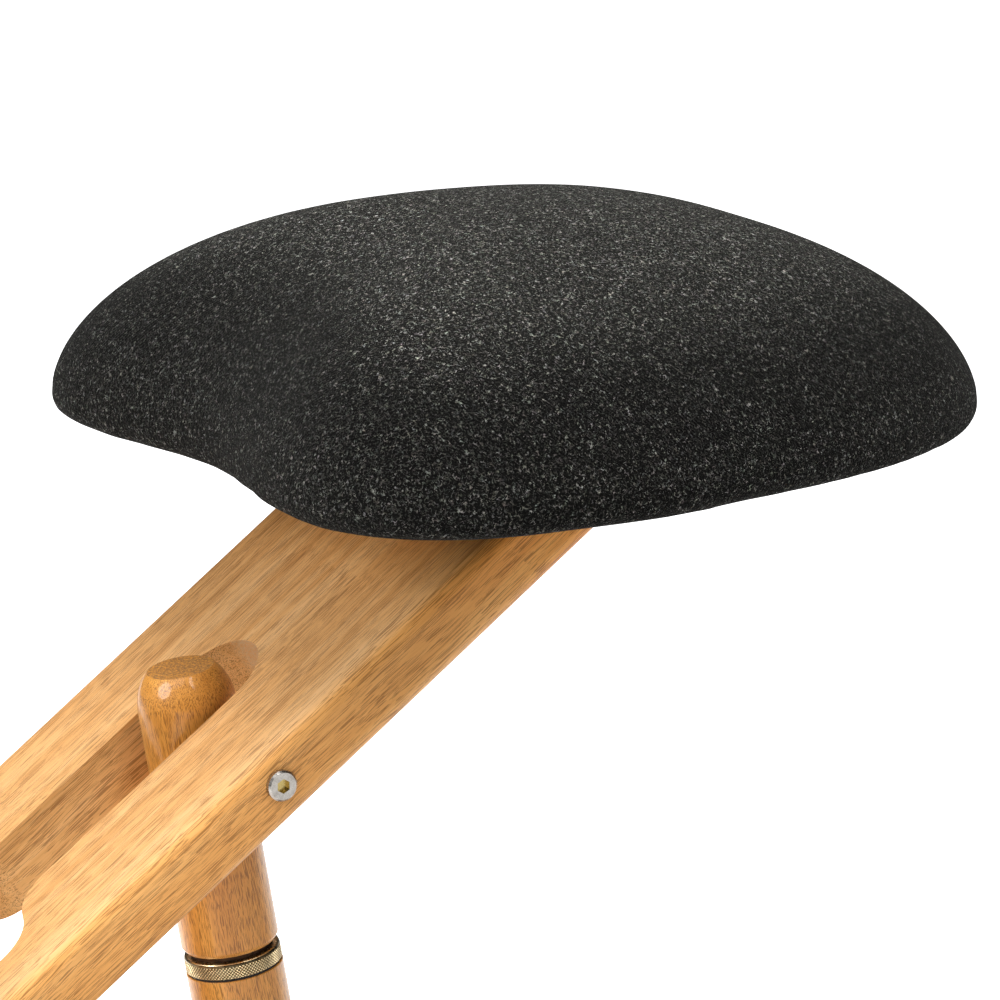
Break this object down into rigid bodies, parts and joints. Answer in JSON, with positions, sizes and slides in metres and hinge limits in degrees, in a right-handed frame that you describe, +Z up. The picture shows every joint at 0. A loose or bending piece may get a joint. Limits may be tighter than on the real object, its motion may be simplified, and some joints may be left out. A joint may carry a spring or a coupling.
{
  "type": "kneeling chair",
  "caption": "Folding kneeling chair with a sloping wooden beam, a domed wool seat, a knee cushion on a crossing plank, a turned strut with a lock ring, and foot bars.",
  "frame": {"origin": "centre of the bounding box on the floor, under the chair", "axes": "+Z up, +Y to the rear of the chair, +X to the sitter's left"},
  "size_m": [0.44, 0.7589, 0.556],
  "materials": {
    "wood": "satin lacquer over light golden hardwood",
    "plywood": "bare birch plywood",
    "wool": "charcoal melange wool cloth",
    "foam": "open cell foam",
    "lining": "black non-woven cloth",
    "steel": "bright zinc plating",
    "antique_brass": "knurled, dull antique plating",
    "brass": "turned",
    "rubber": "matt",
    "nylon": "matt",
    "knob_plastic": "fine grained"
  },
  "bodies": {
    "seat_frame": {"main_beam": "wood", "seat_wedge": "wood", "seat_board": "plywood", "seat_foam": "foam", "seat_cover": "wool", "seat_underlining": "lining", "seat_bolts": "steel", "seat_tee_nuts": "steel", "front_foot_bar": "wood", "front_foot_pads": "rubber", "front_foot_bolts": "steel", "front_foot_barrel_nuts": "steel", "strut_pivot_sleeve": "steel", "strut_pivot_screw": "steel", "strut_pivot_spacers": "nylon", "frame_pivot_sleeve": "steel", "frame_pivot_screw": "steel", "frame_pivot_washers": "steel"},
    "knee_frame": {"frame_pivot_bushes": "nylon", "knee_plank": "wood", "knee_board": "plywood", "knee_foam": "foam", "knee_cover": "wool", "knee_underlining": "lining", "knee_bolts": "steel", "knee_tee_nuts": "steel", "rear_foot_bar": "wood", "rear_foot_pads": "rubber", "rear_foot_bolts": "steel", "rear_foot_barrel_nuts": "steel"},
    "strut": {"strut_upper": "wood", "strut_upper_insert": "brass", "strut_rod": "steel", "ring_washer": "rubber", "strut_lower": "wood", "strut_lower_insert": "brass", "clamp_bolt": "steel", "clamp_washers": "steel"},
    "ring": {"lock_ring": "antique_brass"},
    "knob": {"clamp_knob": "knob_plastic", "clamp_knob_insert": "brass"}
  },
  "joints": [
    {"name": "frame_fold", "type": "hinge", "parent": "seat_frame", "child": "knee_frame", "pos_m": [0, -0.13426, 0.20891], "axis": [1, 0, 0], "range_deg": [-6, 28]},
    {"name": "strut_swing", "type": "hinge", "parent": "seat_frame", "child": "strut", "pos_m": [0, 0.03768, 0.338], "axis": [1, 0, 0], "range_deg": [-12, 56]},
    {"name": "ring_spin", "type": "hinge", "parent": "strut", "child": "ring", "pos_m": [0, 0.03768, 0.338], "axis": [0, -0.1771, 0.9842], "continuous": true},
    {"name": "clamp_turn", "type": "hinge", "parent": "strut", "child": "knob", "pos_m": [0, 0.07575, 0.1264], "axis": [1, 0, 0], "continuous": true}
  ],
  "couplings": [
    {"joint": "strut_swing", "follows": "frame_fold", "ratio": 2}
  ]
}
